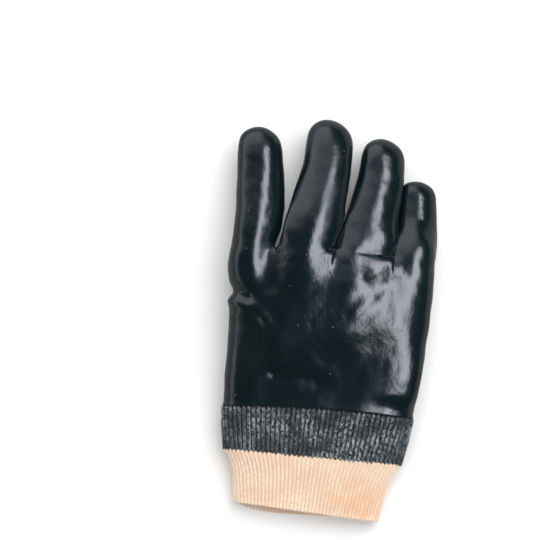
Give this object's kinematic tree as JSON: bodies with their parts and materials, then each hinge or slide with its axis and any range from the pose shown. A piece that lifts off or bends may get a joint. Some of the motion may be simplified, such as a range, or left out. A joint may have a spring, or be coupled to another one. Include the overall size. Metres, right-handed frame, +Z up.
{
  "type": "pvc coated knit wrist work glove",
  "caption": "Right-hand work glove: a smooth glossy black PVC dipped hand lying palm down with its thumb folded under, on a ribbed knit wrist whose upper part is dipped too.",
  "frame": {"origin": "under the middle of the glove's bounding box, on the surface that it lies on", "axes": "+Y from the knit wrist to the fingertips, +X to the little finger, +Z up out of the back of the hand"},
  "size_m": [0.1372, 0.2586, 0.052],
  "materials": {
    "pvc": "smooth glossy black PVC dip with a faint blue-green tint",
    "dipped_rib": "dark blue-grey PVC soaked into ribbed knit, satin and speckled",
    "knit": "undyed cream cotton rib knit, matt"
  },
  "bodies": {
    "root": {"pvc_hand": "pvc", "coated_rib_band": "dipped_rib", "knit_wrist": "knit"}
  },
  "joints": []
}
